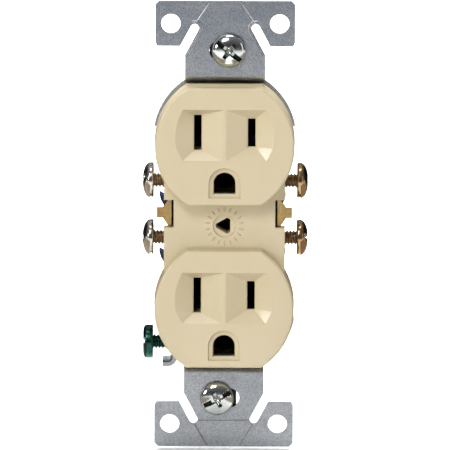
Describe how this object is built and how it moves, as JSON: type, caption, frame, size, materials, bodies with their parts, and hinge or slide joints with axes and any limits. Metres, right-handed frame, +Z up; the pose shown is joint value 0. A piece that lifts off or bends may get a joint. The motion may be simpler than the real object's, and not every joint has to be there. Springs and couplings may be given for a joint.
{
  "type": "duplex wall outlet",
  "caption": "Duplex grounded wall outlet: ivory two-faced cover on a zinc steel strap, blue back body, side terminal screws, green ground screw and captive mounting screws.",
  "frame": {"origin": "middle of the outlet, in the plane of the ears' back faces, which rest on the wall or box", "axes": "+Z up along the strap, -Y out of the wall towards the user, +X to the user's right"},
  "size_m": [0.0392, 0.0285, 0.1068],
  "materials": {
    "ivory_plastic": "smooth moulded urea, glossy",
    "zinc_steel": "hot-dip zinc with a fine spangle",
    "blue_plastic": "moulded, satin",
    "brass_sheet": "bright rolled strip",
    "spring_steel": "bright spring strip",
    "silver_screw": "nickel plate",
    "brass_screw": "brass plate, slightly bronzed",
    "green_screw": "green chromate",
    "bright_zinc": "bright zinc",
    "black_fibre": "vulcanised fibre"
  },
  "bodies": {
    "frame": {"face_cover": "ivory_plastic", "mounting_strap": "zinc_steel", "back_body": "blue_plastic", "neutral_bus_bar": "brass_sheet", "hot_bus_bar": "brass_sheet", "upper_ground_contact": "brass_sheet", "lower_ground_contact": "brass_sheet", "ground_contact_rivets": "zinc_steel", "neutral_wire_clip_upper": "spring_steel", "neutral_wire_clip_lower": "spring_steel", "hot_wire_clip_upper": "spring_steel", "hot_wire_clip_lower": "spring_steel", "assembly_screws": "bright_zinc"},
    "neutral_upper_terminal": {"neutral_screw_upper": "silver_screw"},
    "hot_upper_terminal": {"hot_screw_upper": "brass_screw"},
    "neutral_lower_terminal": {"neutral_screw_lower": "silver_screw"},
    "hot_lower_terminal": {"hot_screw_lower": "brass_screw"},
    "ground_terminal": {"ground_screw": "green_screw"},
    "upper_retainer": {"upper_screw_retainer": "black_fibre"},
    "upper_screw": {"upper_mounting_screw": "bright_zinc"},
    "lower_retainer": {"lower_screw_retainer": "black_fibre"},
    "lower_screw": {"lower_mounting_screw": "bright_zinc"}
  },
  "joints": [
    {"name": "neutral_upper_tighten", "type": "slide", "parent": "frame", "child": "neutral_upper_terminal", "axis": [1, 0, 0], "range_m": [0, 0.0034]},
    {"name": "hot_upper_tighten", "type": "slide", "parent": "frame", "child": "hot_upper_terminal", "axis": [-1, 0, 0], "range_m": [0, 0.0038]},
    {"name": "neutral_lower_tighten", "type": "slide", "parent": "frame", "child": "neutral_lower_terminal", "axis": [1, 0, 0], "range_m": [0, 0.0034]},
    {"name": "hot_lower_tighten", "type": "slide", "parent": "frame", "child": "hot_lower_terminal", "axis": [-1, 0, 0], "range_m": [0, 0.0038]},
    {"name": "ground_tighten", "type": "slide", "parent": "frame", "child": "ground_terminal", "axis": [1, 0, 0], "range_m": [0, 0.0038]},
    {"name": "upper_retainer_slide", "type": "slide", "parent": "frame", "child": "upper_retainer", "axis": [1, 0, 0], "range_m": [-0.00285, 0.00105]},
    {"name": "upper_screw_turn", "type": "hinge", "parent": "upper_retainer", "child": "upper_screw", "pos_m": [0.0009, 0, 0.04167], "axis": [0, 1, 0], "continuous": true},
    {"name": "lower_retainer_slide", "type": "slide", "parent": "frame", "child": "lower_retainer", "axis": [1, 0, 0], "range_m": [-0.00035, 0.00355]},
    {"name": "lower_screw_turn", "type": "hinge", "parent": "lower_retainer", "child": "lower_screw", "pos_m": [-0.0016, 0, -0.04167], "axis": [0, 1, 0], "continuous": true}
  ]
}
